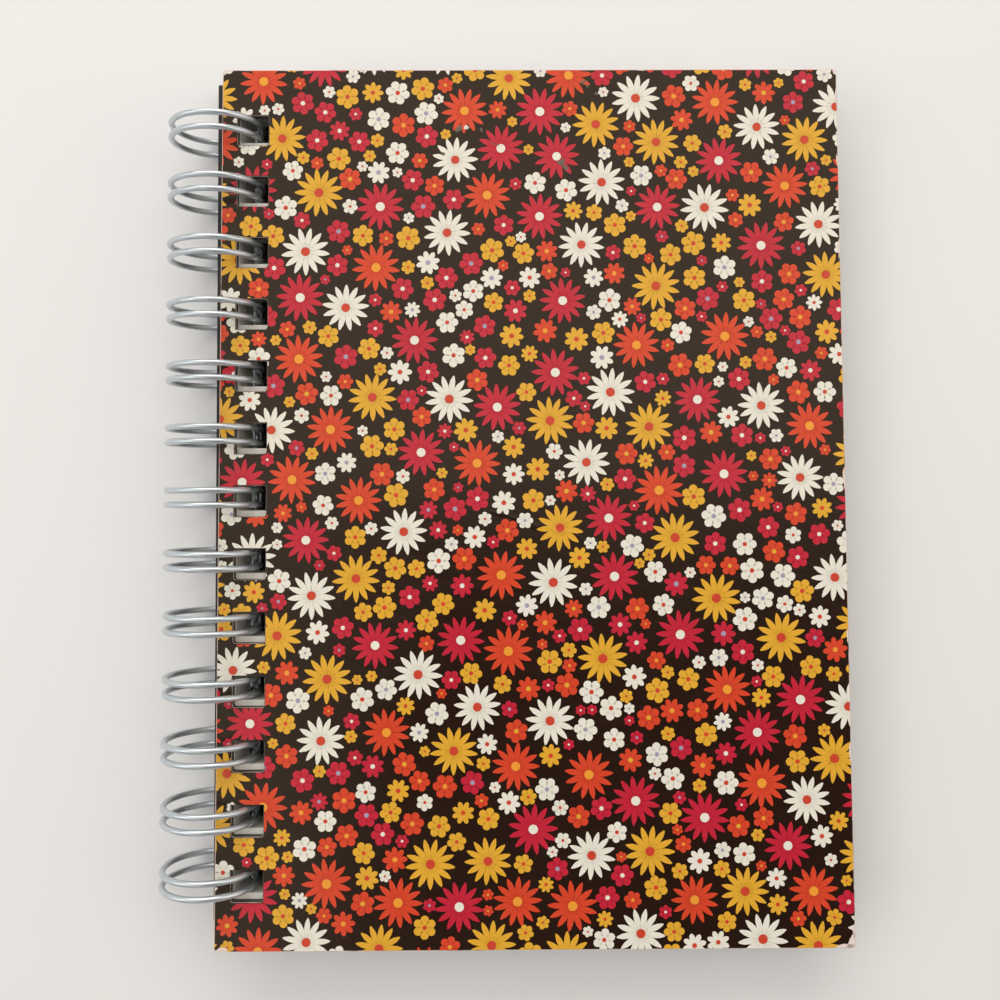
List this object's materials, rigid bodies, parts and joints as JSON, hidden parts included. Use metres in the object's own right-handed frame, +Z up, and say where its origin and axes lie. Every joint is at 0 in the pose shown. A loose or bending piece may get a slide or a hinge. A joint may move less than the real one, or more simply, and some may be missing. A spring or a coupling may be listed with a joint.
{
  "type": "spiral notebook",
  "caption": "Pocket-size wire-bound notebook with stiff printed covers, a block of punched pages and a twin-loop wire along the spine.",
  "frame": {"origin": "middle of the footprint of the closed book, on the surface that it lies on", "axes": "+X from the spine to the fore-edge, +Y up the cover from tail to head, +Z up from the back cover to the front cover"},
  "size_m": [0.1392, 0.1798, 0.0199],
  "materials": {
    "front_cover": "satin",
    "back_cover": "satin",
    "page_block": "matte",
    "binding_wire": "satin"
  },
  "bodies": {
    "binding": {"binding_wire": "binding_wire", "page_block": "page_block"},
    "front": {"front_cover": "front_cover"},
    "back": {"back_cover": "back_cover"}
  },
  "joints": [
    {"name": "front_cover_hinge", "type": "hinge", "parent": "binding", "child": "front", "pos_m": [-0.05959, -0.00026, 0.00996], "axis": [0, -1, 0], "range_deg": [0, 180]},
    {"name": "back_cover_hinge", "type": "hinge", "parent": "binding", "child": "back", "pos_m": [-0.05959, -0.00026, 0.00996], "axis": [0, 1, 0], "range_deg": [0, 180]}
  ]
}
